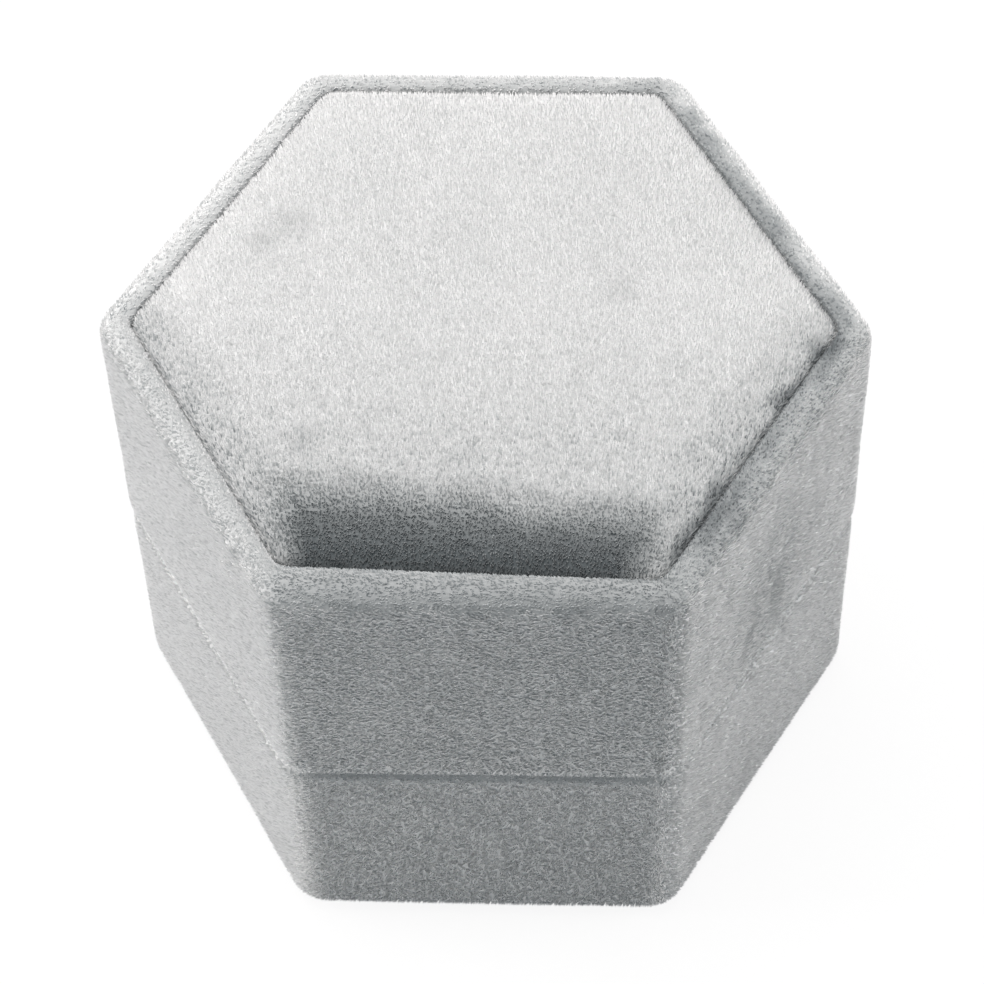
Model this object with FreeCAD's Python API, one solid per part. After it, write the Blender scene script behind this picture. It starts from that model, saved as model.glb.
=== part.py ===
import FreeCAD, Part
import math
import os

# A six-sided ring box covered in velvet, closed: a deep lift-off lid on a base with a collar.
# Millimetres, +Z up. The origin is the middle of the underside. One flat side faces the front, -Y,
# and two corners lie on X. An apothem is measured from the middle to a flat side.

# Whole box
across_flats = 48.0
base_height = 20.3
lid_height = 22.3
seam_gap = 0.2

# Sheet stock: velvet with its pile, velvet glued down and turned in, and folded board
velvet = 0.7
turned_velvet = 0.4
board = 1.2
fold_radius = 0.7
overrun = 2.0
same_place = 0.001

# Rounding of the covered edges, as shares of the covered wall's width
rim_outer_share = 0.6
rim_inner_share = 0.3
hem_round_share = 0.24
foot_round_share = 0.45

# Lid
recess_corner_radius = 1.6
lid_top_board = 1.5
lid_turn_in = 7.0
ceiling_card = 0.8
ceiling_foam = 1.5
ceiling_cover = 0.4
ceiling_clearance = 0.2
ceiling_inner_radius = 1.8
ceiling_round_share = 0.8

# Top pad: crowned, with its edge sunk below the rim
pad_card = 1.0
pad_clearance = 0.1
pad_inner_radius = 1.5
pad_foam_edge = 1.9
pad_edge_drop = 1.3
pad_crown = 0.9
pad_shoulder = 8.0
pad_turn_under = 6.0
pad_growth_share = 0.5
foam_clearance = 0.1

# Base
underside_sheet = 0.6
underside_margin = 1.8
bottom_board = 1.5
base_turn_in = 8.0
base_turn_under = 8.0

# Collar that stands in the base and locates the lid
neck_clearance = 0.3
neck_cover = 0.5
neck_card = 1.0
neck_rise = 6.0
neck_tuck = 2.3
neck_round_share = 0.4

# Ring insert: three covered foam rolls side by side, with a slot for a ring on each side of the middle one
insert_clearance = 0.2
riser_foam = 2.0
insert_card = 1.0
roll_height = 14.0
roll_crown = 3.0
roll_cover = 0.6
roll_inner_radius = 0.6
roll_shoulder_share = 0.25
middle_roll_width = 12.0
slot_width = 1.0

# A cushion's crown is drawn through sections at even steps of a quarter turn
crown_steps = 8

# Apothems from the outside in
outer = across_flats / 2
board_outer = outer - velvet
board_inner = board_outer - board
rim_width = velvet + board + velvet
recess = outer - rim_width
lid_inside = board_inner - turned_velvet
neck_outer = lid_inside - neck_clearance
neck_board_outer = neck_outer - neck_cover
neck_board_inner = neck_board_outer - neck_card
neck_inside = neck_board_inner - neck_cover
insert_edge = neck_board_inner - insert_clearance
roll_edge = neck_inside - insert_clearance
pad_edge = recess - pad_clearance
ceiling_edge = lid_inside - ceiling_clearance

# Corner radii of the folded walls
board_inner_radius = fold_radius
board_outer_radius = fold_radius + board
outer_radius = board_outer_radius + velvet
neck_board_outer_radius = fold_radius + neck_card
neck_outer_radius = neck_board_outer_radius + neck_cover
pad_corner_radius = pad_inner_radius + velvet
ceiling_corner_radius = ceiling_inner_radius + ceiling_cover
roll_corner_radius = roll_inner_radius + roll_cover

# Levels from the underside up
base_cover_low = underside_sheet
base_board_low = base_cover_low + turned_velvet
bottom_board_top = base_board_low + bottom_board
base_top = base_height - seam_gap / 2
lid_low = base_height + seam_gap / 2
rim_height = base_height + lid_height
neck_top = base_top + neck_rise
insert_card_low = bottom_board_top + riser_foam
roll_low = insert_card_low + insert_card
roll_top = roll_low + roll_height
pad_top = rim_height + pad_crown
pad_edge_level = rim_height - pad_edge_drop
pad_foam_low = pad_edge_level - pad_foam_edge
pad_card_low = pad_foam_low - pad_card
recess_floor = pad_card_low - turned_velvet
lid_top_board_low = recess_floor - lid_top_board
ceiling_low = lid_top_board_low - ceiling_card - ceiling_foam - ceiling_cover

up = FreeCAD.Vector(0, 0, 1)
sixth_turn = math.radians(60)
half_sixth = sixth_turn / 2


def hexagon(apothem):
    """Six corners, counter-clockwise from +X."""
    reach = apothem / math.cos(half_sixth)
    turns = [sixth_turn * step for step in range(6)]
    return [FreeCAD.Vector(reach * math.cos(turn), reach * math.sin(turn), 0) for turn in turns]


def strip(apothem, y_low, y_high):
    """The corners of a hexagon cut off square at two Y values, counter-clockwise."""

    def half_width(y):
        return (apothem - abs(y) * math.sin(half_sixth)) / math.cos(half_sixth)

    levels = [y_low, 0, y_high] if y_low < 0 < y_high else [y_low, y_high]
    right = [FreeCAD.Vector(half_width(y), y, 0) for y in levels]
    left = [FreeCAD.Vector(-half_width(y), y, 0) for y in reversed(levels)]
    return right + left


def inward(start, end):
    """Unit normal of one side of a counter-clockwise outline, pointing in."""
    along = (end - start).normalize()
    return up.cross(along)


def neighbours(points):
    """Each corner with the one before and the one after it."""
    return zip(points[-1:] + points[:-1], points, points[1:] + points[:1])


def inset(points, distance):
    """A convex outline with every side moved in by the same distance."""
    moved = []
    for before, corner, after in neighbours(points):
        first = inward(before, corner)
        second = inward(corner, after)
        moved.append(corner + (first + second) * (distance / (1 + first.dot(second))))
    return moved


def outline(points, radius, level):
    """Closed wire of lines, with every corner rounded by an arc."""
    arcs = []
    for before, corner, after in neighbours(points):
        back = (before - corner).normalize()
        ahead = (after - corner).normalize()
        half_angle = back.getAngle(ahead) / 2
        reach = radius / math.tan(half_angle)
        middle = (back + ahead).normalize() * (radius / math.sin(half_angle) - radius)
        lift = up * level
        arcs.append([corner + step + lift for step in (back * reach, middle, ahead * reach)])
    edges = []
    for arc, following in zip(arcs, arcs[1:] + arcs[:1]):
        edges.append(Part.Arc(*arc).toShape())
        edges.append(Part.LineSegment(arc[-1], following[0]).toShape())
    return Part.Wire(edges)


def slab(points, radius, low, high):
    """Upright prism on a rounded outline."""
    return Part.Face(outline(points, radius, low)).extrude(up * (high - low))


def band(outside, outside_radius, inside, inside_radius, low, high):
    """Hexagonal tube with an outer and an inner apothem."""
    core = slab(hexagon(inside), inside_radius, low - overrun, high + overrun)
    return slab(hexagon(outside), outside_radius, low, high).cut(core)


def cushion(points, radius, low, edge_level, top, shoulder, growth_share=0):
    """Upright sides to the edge level, then a crown that rounds in over the shoulder to a flat top.

    The corners grow rounder by a share of how far the crown has moved in.
    """
    sections = []
    for step in range(crown_steps + 1):
        turn = math.radians(90) * step / crown_steps
        moved_in = shoulder * (1 - math.cos(turn))
        level = edge_level + (top - edge_level) * math.sin(turn)
        section_radius = radius + moved_in * growth_share
        sections.append(outline(inset(points, moved_in), section_radius, level))
    crown = Part.makeLoft(sections, True, True)
    return slab(points, radius, low, edge_level).fuse(crown).removeSplitter()


def rounded(shape, level, radius, within):
    """Rounds the edges at one level that lie no further out than an apothem."""
    normals = [FreeCAD.Vector(math.cos(turn), math.sin(turn), 0)
               for turn in [half_sixth + sixth_turn * step for step in range(6)]]

    def chosen(edge):
        level_edge = all(abs(vertex.Z - level) < same_place for vertex in edge.Vertexes)
        reach = max(vertex.Point.dot(normal) for vertex in edge.Vertexes for normal in normals)
        return level_edge and reach < within + same_place

    return shape.makeFillet(radius, [edge for edge in shape.Edges if chosen(edge)])


def lid_parts():
    """The walls, top board and coverings of the lid, without its two pads."""
    wall = band(board_outer, board_outer_radius, board_inner, board_inner_radius,
                lid_low + velvet, rim_height - velvet)
    top = slab(hexagon(board_inner), board_inner_radius, lid_top_board_low, recess_floor)

    # The velvet goes up the outside, over the rim into the recess, and turns in round the lower edge
    cover = slab(hexagon(outer), outer_radius, lid_low, rim_height)
    cover = rounded(cover, rim_height, rim_width * rim_outer_share, outer)
    cover = rounded(cover, lid_low, rim_width * hem_round_share, outer)
    turn_in_top = lid_low + lid_turn_in
    cover = cover.cut(slab(hexagon(recess), recess_corner_radius, recess_floor, rim_height + overrun))
    cover = rounded(cover, rim_height, rim_width * rim_inner_share, recess)
    cover = cover.cut(slab(hexagon(board_inner), board_inner_radius, turn_in_top, recess_floor))
    cover = cover.cut(slab(hexagon(lid_inside), fold_radius, lid_low - overrun, turn_in_top))
    cover = cover.cut(wall)

    lining = band(board_inner, board_inner_radius, lid_inside, fold_radius, turn_in_top, lid_top_board_low)
    return {"lid_wall_board": wall, "lid_top_board": top, "lid_wall_velvet": cover, "lid_wall_lining": lining}


def pad_parts():
    """The crowned pad in the lid's recess: card, foam and a velvet cover turned under the card."""
    inside = pad_edge - velvet
    card = slab(hexagon(inside), pad_inner_radius, pad_card_low, pad_foam_low)
    skin = velvet + foam_clearance
    foam = cushion(hexagon(pad_edge - skin), pad_inner_radius, pad_foam_low, pad_edge_level,
                   pad_top - skin, pad_shoulder - skin, pad_growth_share)
    cover = cushion(hexagon(pad_edge), pad_corner_radius, recess_floor, pad_edge_level,
                    pad_top, pad_shoulder, pad_growth_share)
    cover = cover.cut(cushion(hexagon(inside), pad_inner_radius, pad_card_low, pad_edge_level,
                              pad_top - velvet, pad_shoulder - velvet, pad_growth_share))
    opening = slab(hexagon(inside - pad_turn_under), pad_inner_radius, recess_floor - overrun, pad_card_low)
    return {"lid_pad_board": card, "lid_pad_foam": foam, "lid_pad_velvet": cover.cut(opening)}


def turned_over(shape, middle):
    """The same shape turned upside down about a level line along X."""
    turned = shape.copy()
    turned.rotate(FreeCAD.Vector(0, 0, middle), FreeCAD.Vector(1, 0, 0), math.degrees(math.pi))
    return turned


def ceiling_parts():
    """The thin pad inside the lid, under its top board. It is drawn face up and turned over."""
    low = ceiling_low
    high = lid_top_board_low
    middle = (low + high) / 2
    card_top = low + ceiling_card
    shoulder = (ceiling_foam + ceiling_cover) * ceiling_round_share
    edge_level = high - shoulder
    skin = ceiling_cover + foam_clearance
    inside = ceiling_edge - ceiling_cover
    card = slab(hexagon(inside), ceiling_inner_radius, low, card_top)
    foam = cushion(hexagon(ceiling_edge - skin), ceiling_inner_radius, card_top, edge_level,
                   high - skin, shoulder - skin)
    cover = cushion(hexagon(ceiling_edge), ceiling_corner_radius, low, edge_level, high, shoulder)
    cover = cover.cut(cushion(hexagon(inside), ceiling_inner_radius, low - overrun, edge_level,
                              high - ceiling_cover, shoulder - ceiling_cover))
    pieces = {"lid_ceiling_board": card, "lid_ceiling_foam": foam, "lid_ceiling_velvet": cover}
    return {name: turned_over(shape, middle) for name, shape in pieces.items()}


def base_parts():
    """The walls, bottom and coverings of the base."""
    wall = band(board_outer, board_outer_radius, board_inner, board_inner_radius,
                base_board_low, base_top - velvet)
    bottom = slab(hexagon(board_inner), board_inner_radius, base_board_low, bottom_board_top)

    # The velvet goes under the bottom's edge, up the outside, over the upper edge and down to the collar
    cover = slab(hexagon(outer), outer_radius, base_cover_low, base_top)
    cover = rounded(cover, base_top, rim_width * hem_round_share, outer)
    cover = rounded(cover, base_cover_low, rim_width * foot_round_share, outer)
    turn_in_low = base_top - base_turn_in
    cover = cover.cut(slab(hexagon(neck_outer), neck_outer_radius, turn_in_low, base_top + overrun))
    cover = cover.cut(slab(hexagon(board_inner), board_inner_radius, base_board_low, turn_in_low))
    cover = cover.cut(slab(hexagon(board_inner - base_turn_under), board_inner_radius,
                           base_cover_low - overrun, base_board_low))
    cover = cover.cut(wall)

    sheet = slab(hexagon(outer - underside_margin), outer_radius, 0, underside_sheet)
    return {"base_wall_board": wall, "base_bottom_board": bottom, "base_wall_velvet": cover,
            "base_underside_velvet": sheet}


def neck_parts():
    """The collar and its velvet, which goes over the upper edge and is tucked in behind the ring rolls."""
    card_top = neck_top - neck_cover
    card = band(neck_board_outer, neck_board_outer_radius, neck_board_inner, fold_radius,
                bottom_board_top, card_top)
    cover_width = neck_outer - neck_inside
    cover = slab(hexagon(neck_outer), neck_outer_radius, bottom_board_top, neck_top)
    cover = rounded(cover, neck_top, cover_width * neck_round_share, neck_outer)
    turn_low = roll_top - neck_tuck
    cover = cover.cut(slab(hexagon(neck_inside), fold_radius, turn_low, neck_top + overrun))
    cover = rounded(cover, neck_top, cover_width * neck_round_share, neck_inside)
    cover = cover.cut(slab(hexagon(neck_board_inner), fold_radius, bottom_board_top - overrun, turn_low))
    return {"neck_board": card, "neck_velvet": cover.cut(card)}


def insert_parts():
    """The ring insert: a foam riser, a card and three covered rolls."""
    riser = slab(hexagon(insert_edge), fold_radius, bottom_board_top, insert_card_low)
    card = slab(hexagon(insert_edge), fold_radius, insert_card_low, roll_low)
    pieces = {"insert_riser_foam": riser, "insert_board": card}

    near = middle_roll_width / 2
    far = near + slot_width
    rolls = {"front": (-roll_edge, -far), "middle": (-near, near), "rear": (far, roll_edge)}
    edge_level = roll_top - roll_crown
    shoulder = roll_shoulder_share * min(middle_roll_width, roll_edge - far)
    skin = roll_cover + foam_clearance
    for place, (y_low, y_high) in rolls.items():
        plan = strip(roll_edge, y_low, y_high)
        cover = cushion(plan, roll_corner_radius, roll_low, edge_level, roll_top, shoulder)
        hollow = cushion(inset(plan, roll_cover), roll_inner_radius, roll_low - overrun, edge_level,
                         roll_top - roll_cover, shoulder - roll_cover)
        foam = cushion(inset(plan, skin), roll_inner_radius, roll_low, edge_level,
                       roll_top - skin, shoulder - skin)
        pieces[f"ring_roll_{place}_velvet"] = cover.cut(hollow)
        pieces[f"ring_roll_{place}_foam"] = foam
    return pieces


os.makedirs("parts", exist_ok=True)
for make in (lid_parts, pad_parts, ceiling_parts, base_parts, neck_parts, insert_parts):
    for node, shape in make().items():
        print(f"{node}: {len(shape.Solids)} solid, {shape.Volume:.1f} cubic mm, valid {shape.isValid()}")
        shape.exportStep(f"parts/{node}.step")
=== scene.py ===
import math
import bpy
import numpy as np
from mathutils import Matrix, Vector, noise


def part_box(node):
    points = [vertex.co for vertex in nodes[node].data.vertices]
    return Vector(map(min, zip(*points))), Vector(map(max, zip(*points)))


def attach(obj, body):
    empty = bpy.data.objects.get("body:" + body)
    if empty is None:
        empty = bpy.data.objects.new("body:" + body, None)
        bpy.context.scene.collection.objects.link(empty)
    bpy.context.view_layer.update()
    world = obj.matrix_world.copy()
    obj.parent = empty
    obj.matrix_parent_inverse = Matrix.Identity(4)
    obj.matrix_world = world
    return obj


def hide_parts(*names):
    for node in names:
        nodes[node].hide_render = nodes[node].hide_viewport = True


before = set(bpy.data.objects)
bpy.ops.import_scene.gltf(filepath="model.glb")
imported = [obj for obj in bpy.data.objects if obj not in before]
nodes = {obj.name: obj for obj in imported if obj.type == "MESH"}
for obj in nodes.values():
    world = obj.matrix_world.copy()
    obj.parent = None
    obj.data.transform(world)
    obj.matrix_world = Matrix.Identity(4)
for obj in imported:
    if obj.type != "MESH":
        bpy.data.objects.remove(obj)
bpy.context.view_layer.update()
mm = 0.001
print("frame loaded with", len(nodes), "nodes")


def srgb(hexColour):  # sRGB hex to the linear numbers that a socket takes
    channels = [int(hexColour[i:i + 2], 16) / 255 for i in (1, 3, 5)]
    linear = [c / 12.92 if c <= 0.04045 else ((c + 0.055) / 1.055) ** 2.4 for c in channels]
    return (*linear, 1.0)


def addNode(tree, kind, sockets=None, **settings):  # a node with its settings, values and links
    node = tree.nodes.new(kind)
    for name, value in settings.items():
        setattr(node, name, value)
    for name, value in (sockets or {}).items():
        if isinstance(value, bpy.types.NodeSocket):
            tree.links.new(value, node.inputs[name])
        else:
            node.inputs[name].default_value = value
    return node


def startMaterial(name):
    material = bpy.data.materials.new(name)
    material.use_nodes = True
    material.node_tree.nodes.clear()
    return material, material.node_tree


def finishMaterial(tree, looks, bump=None):  # the shader and output that the object's materials end in
    if bump:
        looks = {**looks, "Normal": addNode(tree, "ShaderNodeBump", bump).outputs[0]}
    shader = addNode(tree, "ShaderNodeBsdfPrincipled", looks)
    addNode(tree, "ShaderNodeOutputMaterial", {"Surface": shader.outputs[0]})


# Velvet pile: cut rayon threads, each a plain soft colour. The look of the cloth comes from how
# the threads lean and shade each other, so the threads are real and the shades few.
def pileMaterial(name, colour):
    material, tree = startMaterial(name)
    finishMaterial(tree, {"Base Color": srgb(colour), "Roughness": 0.8, "Specular IOR Level": 0.15,
                          "Sheen Weight": 0.15, "Sheen Roughness": 0.5})
    return material


# Velvet ground: the woven cloth that the pile stands in, seen only down between the threads.
# Dull, a little cloudy, darker with painted shade where the pile is rubbed open, the weave a fine bump.
def groundMaterial(name, shadedPair, closedPair, cloud, weave):
    material, tree = startMaterial(name)
    place = addNode(tree, "ShaderNodeTexCoord")
    cloudy = addNode(tree, "ShaderNodeTexNoise", {
        "Vector": place.outputs["Object"], "Scale": 1 / cloud, "Detail": 4.0})
    fine = addNode(tree, "ShaderNodeTexNoise", {
        "Vector": place.outputs["Object"], "Scale": 1 / weave, "Detail": 2.0})
    both = addNode(tree, "ShaderNodeMath", {
        0: cloudy.outputs["Fac"], 1: fine.outputs["Fac"]}, operation="MULTIPLY")
    rubbedAndShaded = addNode(tree, "ShaderNodeAttribute", attribute_name="open")
    shades = [addNode(tree, "ShaderNodeMix", {
        0: both.outputs[0], 6: srgb(deep), 7: srgb(pale)}, data_type="RGBA")
        for deep, pale in (closedPair, shadedPair)]
    ramp = addNode(tree, "ShaderNodeMix", {
        0: rubbedAndShaded.outputs["Fac"], 6: shades[0].outputs[2], 7: shades[1].outputs[2]}, data_type="RGBA")
    finishMaterial(tree, {"Base Color": ramp.outputs[2], "Roughness": 0.95, "Specular IOR Level": 0.15,
                          "Sheen Weight": 0.3, "Sheen Roughness": 0.6},
                   bump={"Height": fine.outputs["Fac"], "Strength": 0.5, "Distance": 0.1 * mm})
    return material


# Grey board: pressed from pulp, so dull and mottled, with darker fibres and pale flecks
def boardMaterial(name, darkColour, paleColour, blotch, fibre):
    material, tree = startMaterial(name)
    place = addNode(tree, "ShaderNodeTexCoord")
    mottle = addNode(tree, "ShaderNodeTexNoise", {
        "Vector": place.outputs["Object"], "Scale": 1 / blotch, "Detail": 5.0})
    longWays = addNode(tree, "ShaderNodeMapping", {
        "Vector": place.outputs["Object"], "Rotation": (0.4, 0.3, 0.7), "Scale": (1.0, 6.0, 6.0)})
    fibres = addNode(tree, "ShaderNodeTexNoise", {
        "Vector": longWays.outputs[0], "Scale": 1 / fibre, "Detail": 3.0})
    both = addNode(tree, "ShaderNodeMath", {
        0: mottle.outputs["Fac"], 1: fibres.outputs["Fac"]}, operation="MULTIPLY")
    spread = addNode(tree, "ShaderNodeMapRange", {
        "Value": both.outputs[0], "From Min": 0.12, "From Max": 0.4})
    colour = addNode(tree, "ShaderNodeMix", {
        0: spread.outputs[0], 6: srgb(darkColour), 7: srgb(paleColour)}, data_type="RGBA")
    finishMaterial(tree, {"Base Color": colour.outputs[2], "Roughness": 0.9, "Specular IOR Level": 0.2},
                   bump={"Height": fibres.outputs["Fac"], "Strength": 0.4, "Distance": 0.05 * mm})
    return material


# Polyurethane foam, cut from a block: open cells a little under 1 mm, white going to cream between them
def foamMaterial(name, cellColour, wallColour, cell):
    material, tree = startMaterial(name)
    place = addNode(tree, "ShaderNodeTexCoord")
    cells = addNode(tree, "ShaderNodeTexVoronoi", {"Vector": place.outputs["Object"], "Scale": 1 / cell})
    colour = addNode(tree, "ShaderNodeMix", {
        0: cells.outputs["Distance"], 6: srgb(cellColour), 7: srgb(wallColour)}, data_type="RGBA")
    finishMaterial(tree, {"Base Color": colour.outputs[2], "Roughness": 0.95, "Specular IOR Level": 0.2},
                   bump={"Height": cells.outputs["Distance"], "Strength": 0.7, "Distance": 0.2 * mm})
    return material


velvetGround = groundMaterial("velvetGround", shadedPair=("#52585a", "#696f71"),
                              closedPair=("#b6b8b8", "#d0d0d0"), cloud=5 * mm, weave=0.25 * mm)
# Eight shades from the pile's tips to painted shade deep between threads, for where it is rubbed open or shaded
pileColours = ["#e9e9e9", "#dcdcdc", "#c7c8c8", "#b0b3b4", "#999d9e", "#84888a", "#707476", "#5c6062"]
pileShades = {f"Shade {step}": pileMaterial(f"velvetPile{step}", colour)
              for step, colour in enumerate(pileColours)}
greyBoard = boardMaterial("greyBoard", "#6d695f", "#a39e92", blotch=3 * mm, fibre=0.5 * mm)
whiteFoam = foamMaterial("whiteFoam", "#c9c5b8", "#efede6", cell=0.8 * mm)
print("materials made")


# Outlines are lists of (side's outward angle in degrees, its distance from the middle), anticlockwise
def hexagon(apothem):
    return [(30 + 60 * side, apothem) for side in range(6)]


fineRing = {"sideSteps": 24, "cornerSteps": 5}
plainRing = {"sideSteps": 20, "cornerSteps": 4}


def ringOf(sides, inset, radius, level, sideSteps, cornerSteps):  # one loop of points with round corners
    arcs = []
    for here, (angle, offset) in enumerate(sides):
        nextAngle, nextOffset = sides[(here + 1) % len(sides)]
        turn = (nextAngle - angle) % 360
        normals = [[math.cos(math.radians(a)), math.sin(math.radians(a))] for a in (angle, nextAngle)]
        centre = np.linalg.solve(normals, [offset - inset - radius, nextOffset - inset - radius])
        swing = np.radians(np.linspace(angle, angle + turn, cornerSteps + 1))
        arcs.append(centre + radius * np.column_stack((np.cos(swing), np.sin(swing))))
    points = []
    for here, arc in enumerate(arcs):
        points.extend(arc)
        start, end = arc[-1], arcs[(here + 1) % len(arcs)][0]
        points.extend(start + (end - start) * step / sideSteps for step in range(1, sideSteps))
    return np.column_stack((np.array(points), np.full(len(points), level)))


def roundedPath(corners, spacing, arcPoints=9):  # (apothem, level, radius) corners to an evenly spaced line
    line = [np.array(corners[0][:2])]
    for before, corner, after in zip(corners, corners[1:], corners[2:]):
        point, radius = np.array(corner[:2]), corner[2]
        back = np.array(before[:2]) - point
        ahead = np.array(after[:2]) - point
        back /= np.linalg.norm(back)
        ahead /= np.linalg.norm(ahead)
        half = math.acos(back @ ahead) / 2
        centre = point + (back + ahead) / np.linalg.norm(back + ahead) * radius / math.sin(half)
        start = point + back * radius / math.tan(half) - centre
        end = point + ahead * radius / math.tan(half) - centre
        first = math.atan2(start[1], start[0])
        swing = (math.atan2(end[1], end[0]) - first + math.pi) % (2 * math.pi) - math.pi
        for share in np.linspace(0, 1, arcPoints):
            turn = first + swing * share
            line.append(centre + radius * np.array((math.cos(turn), math.sin(turn))))
    line.append(np.array(corners[-1][:2]))
    line = np.array(line)
    along = np.concatenate(([0], np.cumsum(np.linalg.norm(np.diff(line, axis=0), axis=1))))
    even = np.linspace(0, along[-1], max(2, round(along[-1] / spacing)) + 1)
    return np.column_stack((np.interp(even, along, line[:, 0]), np.interp(even, along, line[:, 1])))


def gridFaces(rows, columns, closed=True):  # faces between rows of points, closed into a loop or not
    return [(r * columns + c, r * columns + (c + 1) % columns,
             (r + 1) * columns + (c + 1) % columns, (r + 1) * columns + c)
            for r in range(rows - 1) for c in range(columns if closed else columns - 1)]


def newPiece(name, vertices, faces, materials):
    mesh = bpy.data.meshes.new(name)
    mesh.from_pydata([tuple(v) for v in vertices], [], faces)
    for material in materials:
        mesh.materials.append(material)
    mesh.shade_smooth()
    mesh.validate()
    piece = bpy.data.objects.new(name, mesh)
    bpy.context.scene.collection.objects.link(piece)
    return piece


def settle(piece):  # the piece's modifiers become its plain mesh
    depsgraph = bpy.context.evaluated_depsgraph_get()
    mesh = bpy.data.meshes.new_from_object(piece.evaluated_get(depsgraph), depsgraph=depsgraph)
    old = piece.data
    piece.modifiers.clear()
    piece.data = mesh
    bpy.data.meshes.remove(old)


# the darkening step: how many shades darker the pile goes at full rub and full painted shade
thread = {"sides": 3, "shortest": 0.85, "longest": 1.1, "shadePower": 2.0, "shadeSeed": 7,
          "rubShadeSteps": 5.0}  # how many shades darker the pile is where it stands fully open


# Geometry Nodes: threads of velvet pile, planted over a surface and leaning with its nap
def makePileTree():
    tree = bpy.data.node_groups.new("velvetPile", "GeometryNodeTree")
    sizes = ["Threads per Area", "Length", "Width", "Tuft Size", "Tuft Lean", "Patch Size", "Patch Lean",
             "Jitter", "Own Normal", "First Shade", "Shade Spread"]
    inputs = {"Surface": "Geometry", **dict.fromkeys(sizes, "Float"), "Seed": "Int",
              **dict.fromkeys(pileShades, "Material")}
    for name, kind in inputs.items():
        tree.interface.new_socket(name, in_out="INPUT", socket_type="NodeSocket" + kind)
    tree.interface.new_socket("Pile", in_out="OUTPUT", socket_type="NodeSocketGeometry")
    given = addNode(tree, "NodeGroupInput").outputs

    planted = addNode(tree, "GeometryNodeDistributePointsOnFaces", {
        "Mesh": given["Surface"], "Density": given["Threads per Area"], "Seed": given["Seed"]})
    position = addNode(tree, "GeometryNodeInputPosition")
    kinds = {"nap": "FLOAT_VECTOR", "softNormal": "FLOAT_VECTOR",
             **dict.fromkeys(("trim", "open", "fleck", "shade"), "FLOAT")}
    stored = {name: addNode(tree, "GeometryNodeInputNamedAttribute", {
        "Name": name}, data_type=kind).outputs[0] for name, kind in kinds.items()}

    def leanField(sizeName, amountName):  # a smooth field of small leans, about even round nought
        scale = addNode(tree, "ShaderNodeMath", {0: 1.0, 1: given[sizeName]}, operation="DIVIDE")
        field = addNode(tree, "ShaderNodeTexNoise", {
            "Vector": position.outputs[0], "Scale": scale.outputs[0], "Detail": 1.0})
        centred = addNode(tree, "ShaderNodeVectorMath", {
            0: field.outputs["Color"], 1: (0.5, 0.5, 0.5)}, operation="SUBTRACT")
        return addNode(tree, "ShaderNodeVectorMath", {
            0: centred.outputs[0], "Scale": given[amountName]}, operation="SCALE").outputs[0]

    stray = addNode(tree, "FunctionNodeRandomValue", {
        0: (-1.0, -1.0, -1.0), 1: (1.0, 1.0, 1.0), "Seed": given["Seed"]}, data_type="FLOAT_VECTOR")
    jitter = addNode(tree, "ShaderNodeVectorMath", {
        0: stray.outputs[0], "Scale": given["Jitter"]}, operation="SCALE")
    direction = planted.outputs["Normal"]
    for lean in (stored["nap"], leanField("Tuft Size", "Tuft Lean"), leanField("Patch Size", "Patch Lean"),
                 jitter.outputs[0]):
        direction = addNode(tree, "ShaderNodeVectorMath", {
            0: direction, 1: lean}, operation="ADD").outputs[0]
    turned = addNode(tree, "FunctionNodeAlignRotationToVector", {"Vector": direction}, axis="Z")

    grown = addNode(tree, "FunctionNodeRandomValue", {
        2: thread["shortest"], 3: thread["longest"], "Seed": given["Seed"]}, data_type="FLOAT")
    length = addNode(tree, "ShaderNodeMath", {
        0: given["Length"], 1: grown.outputs[1]}, operation="MULTIPLY")
    length = addNode(tree, "ShaderNodeMath", {
        0: length.outputs[0], 1: stored["trim"]}, operation="MULTIPLY")
    size = addNode(tree, "ShaderNodeCombineXYZ", {
        "X": given["Width"], "Y": given["Width"], "Z": length.outputs[0]})
    cone = addNode(tree, "GeometryNodeMeshCone", {
        "Vertices": thread["sides"], "Radius Top": 0.0, "Radius Bottom": 0.5, "Depth": 1.0}, fill_type="NGON")
    placed = addNode(tree, "GeometryNodeInstanceOnPoints", {
        "Points": planted.outputs["Points"], "Instance": cone.outputs["Mesh"],
        "Rotation": turned.outputs[0], "Scale": size.outputs[0]})
    # most threads stay near the first shade and a few fall well below it, more of them where it is flecked
    anyShade = addNode(tree, "FunctionNodeRandomValue", {
        2: 0.0, 3: 1.0, "Seed": thread["shadeSeed"]}, data_type="FLOAT")
    rarely = addNode(tree, "ShaderNodeMath", {
        0: anyShade.outputs[1], 1: thread["shadePower"]}, operation="POWER")
    spread = addNode(tree, "ShaderNodeMath", {
        0: stored["fleck"], 1: given["Shade Spread"]}, operation="ADD")
    fallen = addNode(tree, "ShaderNodeMath", {
        0: rarely.outputs[0], 1: spread.outputs[0]}, operation="MULTIPLY")
    # painted shade and rubbed pile: threads fall darker where the surface is rubbed open or given painted shade
    darker = addNode(tree, "ShaderNodeMath", {
        0: stored["open"], 1: thread["rubShadeSteps"], 2: given["First Shade"]}, operation="MULTIPLY_ADD")
    shade = addNode(tree, "ShaderNodeMath", {0: fallen.outputs[0], 1: darker.outputs[0]}, operation="ADD")
    kept = addNode(tree, "GeometryNodeStoreNamedAttribute", {
        "Geometry": placed.outputs[0], "Name": "shade", "Value": shade.outputs[0]},
        data_type="FLOAT", domain="INSTANCE")
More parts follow.
